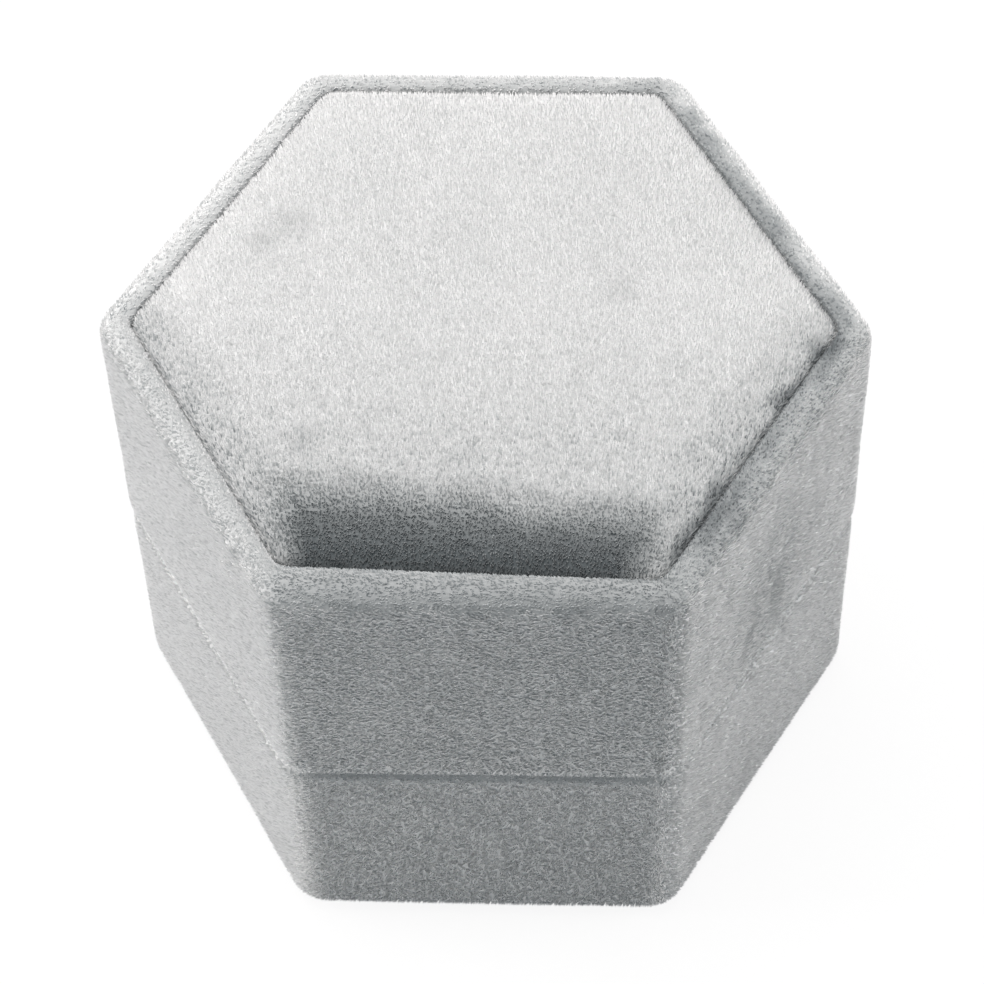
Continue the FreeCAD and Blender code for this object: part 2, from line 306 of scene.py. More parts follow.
    # dense pile takes the light much as the cloth it stands on does, so threads share the cloth's normal
    soft = addNode(tree, "ShaderNodeMix", {
        0: given["Own Normal"], 4: planted.outputs["Normal"], 5: direction}, data_type="VECTOR")
    kept = addNode(tree, "GeometryNodeStoreNamedAttribute", {
        "Geometry": kept.outputs[0], "Name": "softNormal", "Value": soft.outputs[1]},
        data_type="FLOAT_VECTOR", domain="INSTANCE")
    loose = addNode(tree, "GeometryNodeRealizeInstances", {"Geometry": kept.outputs[0]})
    dressed = addNode(tree, "GeometryNodeSetMeshNormal", mode="FREE", domain="POINT")
    tree.links.new(loose.outputs[0], dressed.inputs["Mesh"])
    tree.links.new(stored["softNormal"], dressed.inputs["Custom Normal"])
    for step, name in enumerate(pileShades):
        start = float(step) if step else -1.0
        beyond = addNode(tree, "ShaderNodeMath", {0: stored["shade"], 1: start}, operation="GREATER_THAN")
        dressed = addNode(tree, "GeometryNodeSetMaterial", {
            "Geometry": dressed.outputs[0], "Selection": beyond.outputs[0], "Material": given[name]})
    addNode(tree, "NodeGroupOutput", {"Pile": dressed.outputs[0]})
    return tree


pileTree = makePileTree()
perArea = 1 / mm ** 2  # threads on a square millimetre
pileValues = {
    "Threads per Area": 36 * perArea, "Length": 0.36 * mm, "Width": 0.14 * mm,
    "Tuft Size": 0.5 * mm, "Tuft Lean": 0.5, "Patch Size": 7 * mm, "Patch Lean": 0.3,
    "Jitter": 0.15, "Own Normal": 0.3, "First Shade": 0.45, "Shade Spread": 3.0, **pileShades}
# The sides away from the front, in coarser pile; rear-left and rear begin a few shades darker: painted shade
coarser = {"Threads per Area": 20 * perArea, "Width": 0.185 * mm}
rearLooks = {"RearLeft": {**coarser, "First Shade": 1.7}, "Rear": {**coarser, "First Shade": 1.0},
             "RearRight": coarser}
# Unseen when the box is shut
insidePile = {"Threads per Area": 9 * perArea, "Width": 0.3 * mm, "Length": 0.42 * mm, "First Shade": 0.7,
              "Shade Spread": 1.6, "Own Normal": 0.1, "Tuft Lean": 0.3}
liningPile = {**insidePile, "Threads per Area": 8 * perArea}
# Pressed short, where it lies against other cloth or on the table
flatPile = {**insidePile, "Threads per Area": 7 * perArea, "Width": 0.33 * mm, "Length": 0.22 * mm}
hemPile = {**flatPile, "Threads per Area": 14 * perArea, "Width": 0.22 * mm, "Length": 0.8 * mm}


def growPile(name, surface, body, slot, seed, **changes):  # the surface is used up, and a plain mesh is left
    values = {**pileValues, **changes, "Seed": seed}
    modifier = surface.modifiers.new("pile", "NODES")
    modifier.node_group = pileTree
    for socket in pileTree.interface.items_tree:
        if socket.name in values:
            modifier[socket.identifier] = values[socket.name]
    settle(surface)
    surface.name = name
    surface.data.name = name
    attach(surface, body)
    return surface


# nap: the lean, trim: the length left, fleck: more dark threads; the darkening field holds rubbed-open pile and
# painted shade
def setPile(piece, **fields):
    for name, values in fields.items():
        vector = name == "nap"
        attribute = piece.data.attributes.new(name, "FLOAT_VECTOR" if vector else "FLOAT", "POINT")
        flat = np.asarray(values, dtype=np.float32).ravel()
        attribute.data.foreach_set("vector" if vector else "value", flat)


def noiseOver(points, size):
    return np.array([noise.noise(p / size) for p in points.reshape(-1, 3)]).reshape(points.shape[:-1])


def rubbedSpot(x, y, z, wide, tall, rubbedAndShaded):  # in millimetres, with how open the pile is there
    return {"at": np.array((x, y, z)) * mm, "wide": wide * mm, "tall": tall * mm, "open": rubbedAndShaded}


spotEdge = {"full": 1.2, "ragged": 0.6, "raggedSize": 0.9 * mm}


def spotted(points, spots):
    rubbedAndShaded = np.zeros(points.shape[:-1])
    ragged = noiseOver(points, spotEdge["raggedSize"])
    for spot in spots:
        away = points - spot["at"]
        reach = np.hypot(np.linalg.norm(away[..., :2], axis=-1) / spot["wide"], away[..., 2] / spot["tall"])
        rubbedAndShaded += spot["open"] * np.clip(spotEdge["full"] - reach + spotEdge["ragged"] * ragged, 0, 1)
    return rubbedAndShaded


sideNames = ["FrontRight", "RearRight", "Rear", "RearLeft", "FrontLeft", "Front"]  # by outward angle from -30


def sideValues(*values):
    return dict(zip(sideNames, values))


def evenNap(around, along):
    return {"around": dict.fromkeys(sideNames, around), "along": along}


def bySide(grid, amounts, turn=12):  # a value for each point, going over within some degrees of a corner
    angles = (np.degrees(np.arctan2(grid[..., 1], grid[..., 0])) + 60) % 360
    stops, values = [], []
    for side in range(-1, 7):
        stops += [60 * side + turn, 60 * side + 60 - turn]
        values += [amounts[sideNames[side % 6]]] * 2
    return np.interp(angles, stops, values)


wallWeave = {"sideSteps": 30, "cornerSteps": 6, "rowSpacing": 0.6 * mm, "thickness": 0.2 * mm}
perSide = wallWeave["sideSteps"] + wallWeave["cornerSteps"]
allRound = [*range(6 * perSide), 0]
pileHeight = 0.24 * mm  # how far the threads' tips stand off the ground cloth
stillCloth = {"size": 8 * mm, "height": 0.0}
noHem = {"level": -1, "reach": 1 * mm, "open": None}
# Where wrapped pile stands up, is pressed short or is worn down, and where seam and rim get painted shade
wear = {"uprightFrom": 0.2, "uprightBlend": 0.5, "inwardBlend": 4 * mm, "rimTrim": 0.5, "recessTrim": 0.5,
        "hemTrim": 0.75, "seamShadeOnTop": 0.5, "streakStretch": (1, 1, 0.2), "streakSize": 0.8 * mm,
        "innerFrom": 0.4, "innerBlend": 0.3, "napTurn": 3}


# A velvet sheet round the six sides: a path of (apothem, level) swept round the box
def wrapVelvet(name, path, corners, weave, nap, wave=stillCloth, hem=noHem, rim=None, spots=(), closed=False):
    columns = 6 * (weave["sideSteps"] + weave["cornerSteps"])
    rings = []
    for row, (apothem, level) in enumerate(path):
        radius = np.interp(apothem, corners["apothem"], corners["radius"])
        sides = hexagon(apothem)
        if rim:  # the recess isn't quite even, and its front side is a little askew
            sides = [(angle + rim["askew"].get(angle, 0) * rim["share"][row],
                      offset + rim["wider"][angle] * rim["share"][row]) for angle, offset in sides]
        rings.append(ringOf(sides, 0, radius, level, weave["sideSteps"], weave["cornerSteps"]))
    grid = np.array(rings)
    around = np.roll(grid, -1, axis=1) - np.roll(grid, 1, axis=1)
    around /= np.linalg.norm(around, axis=2, keepdims=True)
    along = np.gradient(grid, axis=0)
    along /= np.linalg.norm(along, axis=2, keepdims=True)
    outward = np.cross(around, along)
    grid = grid + outward * ((0.5 + 0.5 * noiseOver(grid, wave["size"])) * wave["height"])[..., None]
    faces = gridFaces(len(path), columns)
    if closed:
        faces.append(tuple(reversed(range(columns))))
    sheet = newPiece(name, grid.reshape(-1, 3), faces, [velvetGround])

    # on the rim the pile stands up and is shorter, in the recess it is pressed, and at the seam worn down
    upright = np.clip((outward[..., 2] - wear["uprightFrom"]) / wear["uprightBlend"], 0, 1)
    inward = np.clip(-(outward * grid)[..., :2].sum(axis=2) / wear["inwardBlend"], 0, 1)
    fromHem = np.abs(grid[..., 2] - hem["level"])
    atHem = np.clip(1 - fromHem / hem["reach"], 0, 1)
    rubbedAndShaded = spotted(grid, spots)
    fleck = np.zeros_like(rubbedAndShaded)
    # painted shade: the pile darkened in the seam between lid and base, where shade falls; the streaks are
    # brushed tone
    if hem["open"]:  # dark in the seam, and streaked up and down where hands have brushed the wall
        inSeam = np.clip(1 - fromHem / hem["seamShadeReach"], 0, 1)
        rubbedAndShaded += bySide(grid, hem["open"]) * inSeam * (1 - wear["seamShadeOnTop"] * upright)
        rubbedAndShaded += bySide(grid, hem["streaks"]) * noiseOver(grid * wear["streakStretch"], wear["streakSize"])
    # the rim darkened side by side: partly pile rubbed open by handling, partly painted shade, most in the
    # inner half by the groove
    if rim:  # handling rubs the rim's pile open, more on some sides, and most in its inner half
        uneven = noiseOver(grid, rim["unevenSize"])
        onRim = np.clip((grid[..., 2] - rim["from"] + uneven * rim["uneven"]) / rim["blend"], 0, 1)
        rubbedAndShaded += bySide(grid, rim["open"]) * onRim
        inner = rim["share"][:, None] + rim["innerUneven"] * uneven
        inner = np.clip((inner - wear["innerFrom"]) / wear["innerBlend"], 0, 1)
        rubbedAndShaded += bySide(grid, rim["inner"]) * inner * onRim
        fleck += bySide(grid, rim["fleck"]) * onRim
    lean = nap["along"] * (1 - upright) * (1 - inward) * (1 - atHem)
    trim = 1 - wear["rimTrim"] * upright - wear["recessTrim"] * inward * (1 - upright)
    sideways = bySide(grid, nap["around"], wear["napTurn"])
    fields = {"nap": around * sideways[..., None] + along * lean[..., None],
              "trim": trim * (1 - wear["hemTrim"] * atHem), "open": rubbedAndShaded, "fleck": fleck}
    setPile(sheet, open=rubbedAndShaded)
    solid = sheet.modifiers.new("thickness", "SOLIDIFY")
    solid.thickness = weave["thickness"]
    solid.offset = -1
    settle(sheet)
    return sheet, grid, fields


# Pile on part of a wrapped sheet
def pileOver(name, grid, fields, rows, picked, body, slot, seed, **changes):
    part = grid[rows[0]:rows[1] + 1][:, picked]
    faces = gridFaces(len(part), len(picked), closed=False)
    surface = newPiece(name, part.reshape(-1, 3), faces, [])
    setPile(surface, **{key: field[rows[0]:rows[1] + 1][:, picked] for key, field in fields.items()})
    return growPile(name, surface, body, slot, seed, **changes)


def wallPiles(stem, grid, fields, rows, body, v):  # one pile for each of the six sides
    piles = []
    for side in range(6):
        first = side * perSide - wallWeave["sideSteps"] - wallWeave["cornerSteps"] // 2
        picked = [(first + step) % (6 * perSide) for step in range(perSide + 1)]
        faces = sideNames[(side + 1) % 6]
        look = {**v["look"], **v["sideLooks"].get(faces, {})}
        piles.append(pileOver(stem + faces, grid, fields, rows, picked, body, "grey_velvet",
                              v["seed"] + side, **look))
    return piles


# A wrapped sheet goes on its body, and the CAD part it stands for is hidden
def layVelvet(sheet, body, node):
    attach(sheet, body)
    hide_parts(node)


# Lid wall velvet: over the wall, the rim and down into the recess, turned in under the lower edge
lidVelvet = {
    "turnIn": 7.0 * mm, "insideFace": 21.75 * mm, "hemRound": 0.2 * mm, "hemDrop": 0.3 * mm,
    "outerCorner": 2.2 * mm, "rimOuterRound": 1.35 * mm, "rimInnerRound": 0.4 * mm, "recessFace": 21.7 * mm,
    "recessDepth": 4.2 * mm, "recessCorner": 1.4 * mm, "pileInto": 1.4 * mm, "seed": 11, "turnInSeed": 18,
    # hem: the darkness in the seam is painted shade; the streaks are brushed tone
    "hem": {"reach": 0.6 * mm, "seamShadeReach": 0.35 * mm,
            "open": sideValues(0.3, 0.2, 0.2, 0.2, 0.0, 0.3),
            "streaks": sideValues(0.12, 0.05, 0.05, 0.05, 0.03, 0.03)},
    "nap": {"around": sideValues(0.7, 0.7, 0.2, -0.7, -0.7, -0.7), "along": 1.1},
    "wave": {"size": 8 * mm, "height": 0.15 * mm},
    # rim: darkening by side and over the inner half, partly rubbed pile and partly painted shade
    "rim": {"open": sideValues(0.36, 0.16, 0.06, -0.04, 0.24, 0.46),
            "inner": sideValues(0.32, 0.5, 0.1, 0, 0, 0), "innerUneven": 0.35,
            "fleck": sideValues(1.0, 0.3, 0, 0, 0.3, -1.2),
            "wider": {30: 0.0, 90: 0.25 * mm, 150: 0.1 * mm, 210: 0.25 * mm, 270: -0.5 * mm, 330: 0.1 * mm},
            "askew": {270: -1.9},
            "from": 40.6 * mm, "blend": 1.2 * mm, "uneven": 0.6 * mm, "unevenSize": 2 * mm},
    "spots": [rubbedSpot(20.6, -12.4, 26.8, wide=7.0, tall=9.0, rubbedAndShaded=0.18),
              rubbedSpot(19.3, -14.6, 24.2, wide=1.1, tall=2.6, rubbedAndShaded=0.15),
              rubbedSpot(21.6, -10.6, 25.2, wide=1.8, tall=3.2, rubbedAndShaded=0.06),
              rubbedSpot(24.2, -1.6, 42.2, wide=1.3, tall=4, rubbedAndShaded=0.45),
              rubbedSpot(16.7, -16.8, 42.5, wide=4.0, tall=2.4, rubbedAndShaded=0.16)],
    "look": {"Own Normal": 0.3, "Shade Spread": 2.0, "First Shade": 0.5},
    # the front and right-front sides begin darker: painted shade for the sides the lamps light least
    "sideLooks": {"Front": {"Own Normal": 0.6, "First Shade": 1.3, "Shade Spread": 2.6},
                  "FrontRight": {"Own Normal": 0.12, "Tuft Lean": 0.35, "Jitter": 0.1, "First Shade": 0.9},
                  **rearLooks}}


def makeLidWall(v):
    low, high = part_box("lid_wall_velvet")
    outside = high[1] - pileHeight
    bottom = low[2] - v["hemDrop"]
    top = high[2] - pileHeight
    path = roundedPath([
        (v["insideFace"], bottom + v["turnIn"], 0), (v["insideFace"], bottom, v["hemRound"]),
        (outside, bottom, v["hemRound"]), (outside, top, v["rimOuterRound"]),
        (v["recessFace"], top, v["rimInnerRound"]), (v["recessFace"], top - v["recessDepth"], 0)],
        wallWeave["rowSpacing"])
    corners = {"apothem": [v["recessFace"], outside], "radius": [v["recessCorner"], v["outerCorner"]]}
    upThere = path[:, 1] > top - v["recessDepth"] - mm
    share = np.clip((outside - path[:, 0]) / (outside - v["recessFace"]), 0, 1) * upThere
    sheet, grid, fields = wrapVelvet("lidWallVelvet", path, corners, wallWeave, v["nap"], v["wave"],
                                     {**v["hem"], "level": bottom}, {**v["rim"], "share": share}, v["spots"])
    firstRow = int(np.argmin(path[:, 1]))
    lastRow = int(np.flatnonzero(path[:, 1] > top - v["pileInto"])[-1])
    piles = wallPiles("lidPile", grid, fields, (firstRow, lastRow), "lid", v)
    piles.append(pileOver("lidTurnInPile", grid, fields, (0, firstRow), allRound, "lid", "grey_velvet",
                          v["turnInSeed"], **flatPile))
    layVelvet(sheet, "lid", "lid_wall_velvet")


makeLidWall(lidVelvet)
print("lid wall velvet laid")


# Base wall velvet: turned under the bottom, up the wall, over the upper edge and in behind the neck
baseVelvet = {
    "turnUnder": 15 * mm, "turnUnderCorner": 1 * mm, "footRound": 1.2 * mm, "footPile": 0.1 * mm,
    "hemRound": 0.7 * mm, "hemDrop": 0.6 * mm, "outerCorner": 2.8 * mm, "insideFace": 21.75 * mm,
    "insideCorner": 1.95 * mm, "turnIn": 7.1 * mm, "seed": 31, "hemSeed": 38,
    # hem: the darkness in the seam is painted shade; the streaks are brushed tone
    "hem": {"reach": 0.7 * mm, "seamShadeReach": 0.65 * mm,
            "open": sideValues(0.5, 0.4, 0.4, 0.5, 0.5, 0.48),
            "streaks": sideValues(0.1, 0.05, 0.05, 0.05, 0.03, 0.05)},
    "nap": {"around": sideValues(0.6, 0.6, 0.2, -0.6, -0.6, -0.4), "along": 0.9},
    "wave": {"size": 8 * mm, "height": 0.15 * mm},
    "look": {"Own Normal": 0.1, "Tuft Lean": 0.4, "Jitter": 0.1, "Shade Spread": 2.0, "First Shade": 0.55},
    # the front and right-front sides begin darker: painted shade for the sides the lamps light least
    "sideLooks": {"Front": {"First Shade": 0.8, "Own Normal": 0.3}, "FrontRight": {"First Shade": 0.75},
                  **rearLooks}}


def makeBaseWall(v):
    low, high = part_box("base_wall_velvet")
    outside = high[1] - pileHeight
    bottom = low[2] + v["footPile"]
    top = high[2] - v["hemDrop"]
    path = roundedPath([
        (v["turnUnder"], bottom, 0), (outside, bottom, v["footRound"]), (outside, top, v["hemRound"]),
        (v["insideFace"], top, v["hemRound"]), (v["insideFace"], top - v["turnIn"], 0)],
        wallWeave["rowSpacing"])
    corners = {"apothem": [v["turnUnder"], v["insideFace"], outside],
               "radius": [v["turnUnderCorner"], v["insideCorner"], v["outerCorner"]]}
    sheet, grid, fields = wrapVelvet("baseWallVelvet", path, corners, wallWeave, v["nap"], v["wave"],
                                     {**v["hem"], "level": top})
    firstRow = int(np.argmax(path[:, 0] > outside - v["footRound"]))
    lastRow = int(np.argmax(path[:, 1]))
    piles = wallPiles("basePile", grid, fields, (firstRow, lastRow), "base", v)
    hemEnd = int(np.flatnonzero(path[:, 1] > top - v["hemRound"])[-1])
    piles.append(pileOver("baseHemPile", grid, fields, (lastRow, hemEnd), allRound, "base", "grey_velvet",
                          v["hemSeed"], **hemPile))
    layVelvet(sheet, "base", "base_wall_velvet")


makeBaseWall(baseVelvet)
print("base wall velvet laid")


# Underside velvet: one flat piece that hides the turned-under edges
underside = {"edge": 22.1 * mm, "edgeRound": 0.3 * mm, "corner": 2.2 * mm, "middle": 0.4 * mm,
             "middleCorner": 0.1 * mm, "faceLevel": 0.26 * mm, "thickness": 0.4 * mm, "nap": evenNap(0, 0),
             "seed": 41}


def makeUnderside(v):
    path = roundedPath([(v["middle"], v["faceLevel"], 0), (v["edge"], v["faceLevel"], v["edgeRound"]),
                        (v["edge"], v["faceLevel"] + v["thickness"], 0)], wallWeave["rowSpacing"] / 2)
    corners = {"apothem": [v["middle"], v["edge"]], "radius": [v["middleCorner"], v["corner"]]}
    weave = {**wallWeave, "thickness": v["thickness"] / 2}
    sheet, grid, fields = wrapVelvet("undersideVelvet", path, corners, weave, v["nap"], closed=True)
    pile = pileOver("undersidePile", grid, fields, (0, len(path) - 2), allRound, "base", "grey_velvet",
                    v["seed"], **flatPile)
    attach(sheet, "base")
    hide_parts("base_underside_velvet")


makeUnderside(underside)
print("underside laid")


# Neck velvet: up the collar's outside, over its upper edge and a little way down inside
neckVelvet = {"outside": 21.1 * mm, "inside": 19.7 * mm, "bottom": 3 * mm, "edgeRound": 0.5 * mm,
              "topPile": 0.25 * mm, "turnIn": 8.6 * mm, "outerCorner": 1.9 * mm, "innerCorner": 0.9 * mm,
              "pileFrom": 19.4 * mm, "nap": evenNap(-0.5, 0.9), "seed": 61,
              "look": {**insidePile, "Threads per Area": 14 * perArea, "Width": 0.23 * mm, "Length": 0.36 * mm}}


def makeNeck(v):
    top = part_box("neck_velvet")[1][2] - v["topPile"]
    path = roundedPath([
        (v["outside"], v["bottom"], 0), (v["outside"], top, v["edgeRound"]),
        (v["inside"], top, v["edgeRound"]), (v["inside"], top - v["turnIn"], 0)], wallWeave["rowSpacing"])
    corners = {"apothem": [v["inside"], v["outside"]], "radius": [v["innerCorner"], v["outerCorner"]]}
    sheet, grid, fields = wrapVelvet("neckVelvet", path, corners, wallWeave, v["nap"])
    firstRow = int(np.argmax(path[:, 1] > v["pileFrom"]))
    pile = pileOver("neckPile", grid, fields, (firstRow, len(path) - 1), allRound, "base", "grey_velvet",
                    v["seed"], **v["look"])
    layVelvet(sheet, "base", "neck_velvet")


makeNeck(neckVelvet)
print("neck velvet laid")


# Lid lining: a strip round the inside of the lid's wall, its lower edge tucked behind the turned-in velvet
lidLining = {"face": 21.95 * mm, "top": 36.3 * mm, "bottom": 26 * mm, "pileTo": 27.6 * mm, "corner": 1.0 * mm,
             "thickness": 0.12 * mm, "nap": evenNap(-0.4, 0.6), "seed": 71}


def makeLining(v):
    rows = round((v["top"] - v["bottom"]) / wallWeave["rowSpacing"]) + 1
    path = np.column_stack((np.full(rows, v["face"]), np.linspace(v["top"], v["bottom"], rows)))
    corners = {"apothem": [v["face"], v["face"] + mm], "radius": [v["corner"], v["corner"] + mm]}
    weave = {**wallWeave, "thickness": v["thickness"]}
    sheet, grid, fields = wrapVelvet("lidLining", path, corners, weave, v["nap"])
    lastRow = int(np.argmax(path[:, 1] < v["pileTo"]))
    pile = pileOver("lidLiningPile", grid, fields, (0, lastRow), allRound, "lid", "lining_velvet",
                    v["seed"], **liningPile)
    layVelvet(sheet, "lid", "lid_wall_lining")


makeLining(lidLining)
print("lid lining laid")


# A padded piece: closed rings from its underside up over its crown, puffed up by a pressure cloth
def makePad(name, rings, pad, material):
    columns = len(rings[0])
    faces = gridFaces(len(rings), columns)
    faces.append(tuple(reversed(range(columns))))
    faces.append(tuple((len(rings) - 1) * columns + c for c in range(columns)))
    piece = newPiece(name, np.concatenate(rings), faces, [material])
    remesh = piece.modifiers.new("even", "REMESH")
    remesh.mode = "VOXEL"
    remesh.voxel_size = pad["voxel"]
    settle(piece)
    puffUp(piece, pad)
    smooth = piece.modifiers.new("rounder", "SUBSURF")
    smooth.levels = 1
    smooth.render_levels = 1
    settle(piece)
    piece.data.shade_smooth()
    return piece


puffFrames = 20


def puffUp(piece, pad):
    start = pointsOf(piece)
    held = piece.vertex_groups.new(name="held")
    low = start[:, 2].min() + pad["heldHeight"]
    held.add([int(i) for i in np.flatnonzero(start[:, 2] < low)], 1.0, "REPLACE")
    cloth = piece.modifiers.new("puff", "CLOTH")
    cloth.settings.use_pressure = True
    cloth.settings.uniform_pressure_force = pad["pressure"]
    cloth.settings.effector_weights.gravity = 0
    cloth.settings.vertex_group_mass = "held"
    scene = bpy.context.scene
    for step in range(1, puffFrames + 1):
        scene.frame_set(step)
    depsgraph = bpy.context.evaluated_depsgraph_get()
    puffed = piece.evaluated_get(depsgraph)
    move = pointsOf(puffed) - start
    far = np.linalg.norm(move, axis=1, keepdims=True)
    print(piece.name, "swells by up to", round(float(far.max()) / mm, 2), "mm before the cap")
    move *= np.minimum(1, pad["cap"] / np.maximum(far, 1e-9))
    piece.modifiers.clear()
    piece.vertex_groups.clear()
    piece.data.vertices.foreach_set("co", (start + move).ravel())
    piece.data.update()
    scene.frame_set(1)


def pointsOf(piece):
    points = np.empty(len(piece.data.vertices) * 3)
    piece.data.vertices.foreach_get("co", points)
    return points.reshape(-1, 3)


def shoulderRings(sides, v, low, rise, growth, ringSteps):  # a quarter round from the edge to the crown
    rings = []
    for step in range(v["steps"] + 1):
        turn = math.radians(90 * step / v["steps"])
        inset = v["shoulderWide"] * (1 - math.cos(turn))
        level = low + rise * math.sin(turn)
        rings.append(ringOf(sides, inset, v["corner"] + growth * inset, level, **ringSteps))
    return rings


def plainFields(points, axis, lean):  # an even nap with nothing rubbed
    nap = np.zeros_like(points)
    nap[:, axis] = lean
    return {"nap": nap, "trim": np.ones(len(points)), "open": np.zeros(len(points))}


# Pile on the part of a pad that shows
def padPile(pad, name, keepFace, fields, body, slot, seed, **changes):
    points = pointsOf(pad)
    kept = [tuple(p.vertices) for p in pad.data.polygons if keepFace(p.center)]
    used = sorted({i for face in kept for i in face})
    renumber = {old: new for new, old in enumerate(used)}
    patch = newPiece(name, points[used], [tuple(renumber[i] for i in face) for face in kept], [])
    setPile(patch, **{key: field[used] for key, field in fields.items()})
    return growPile(name, patch, body, slot, seed, **changes)


def coverPad(pad, body, nodesReplaced):
    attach(pad, body)
    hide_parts(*nodesReplaced)


# Lid pad: foam on card under velvet, crowned, its edges sunk below the rim
lidPad = {
    "sides": {30: 21.62 * mm, 90: 21.88 * mm, 150: 21.72 * mm, 210: 21.8 * mm, 268.1: 20.7 * mm,
              330: 21.65 * mm},
    "frontAngle": 268.1, "corner": 1.4 * mm, "tuck": 0.4 * mm, "lip": 0.5 * mm, "edgeLevel": 42.1 * mm,
    "topLevel": 43.2 * mm, "shoulder": 8 * mm, "growth": 0.5, "rings": 14, "frontSag": 0.8 * mm,
    "sagFrom": 14 * mm, "voxel": 0.6 * mm, "heldHeight": 1.5 * mm, "pressure": 4, "cap": 0.3 * mm,
    "fill": 0.8, "pileFrom": 2.6 * mm, "seed": 51, "sideTrim": 0.5, "sideBelow": 0.2 * mm,
    "napBack": 0.9, "napForward": -0.4,
    # the strip along the front, brushed forward and darkened with painted shade, and the groove before it in
    # deeper painted shade
    "brushedLeft": 5.7 * mm, "brushedRight": 4.4 * mm, "blend": 4.0 * mm, "farStripShade": 0.6, "nearStripShade": 1.1,
    "groove": 1.0 * mm, "grooveFrom": 1.2, "grooveShade": 1.4, "uneven": 1.0 * mm, "unevenSize": 2.5 * mm,
    "frontShade": 0.1, "frontPast": 2 * mm, "rearShade": 0.05, "rearBlend": 10 * mm,
    "frontFleck": 1.2, "fleckReach": 12 * mm,
    # two sides that hands rub, by angle, and how the strip ends there; the right-front edge also gets painted
    # shade by the groove
    "rubbed": {210: {"wide": 2.0 * mm, "open": 0.12, "fleck": 2.2, "end": 2.4 * mm, "edgeShade": 0},
               330: {"wide": 2.4 * mm, "open": 0.1, "fleck": 2.2, "end": 2.8 * mm, "edgeShade": 0.55}},
    "endUneven": 0.5, "endFrom": 0.2, "edge": 1.0 * mm, "edgeFrom": 0.7, "edgeUneven": 1.5,
    "look": {"Length": 0.32 * mm, "Own Normal": 0.2, "First Shade": 0.6, "Shade Spread": 1.4},
    "spots": [rubbedSpot(-15.8, 6.6, 43, wide=1.3, tall=9, rubbedAndShaded=0.14),
              rubbedSpot(-13.9, 8.2, 43, wide=1.4, tall=9, rubbedAndShaded=0.13),
              rubbedSpot(9.6, 1.9, 43, wide=1.4, tall=9, rubbedAndShaded=0.12),
              rubbedSpot(-12.2, -11.1, 43, wide=1.6, tall=9, rubbedAndShaded=0.14),
              rubbedSpot(23.6, -1.9, 42, wide=1.0, tall=9, rubbedAndShaded=0.4)]}


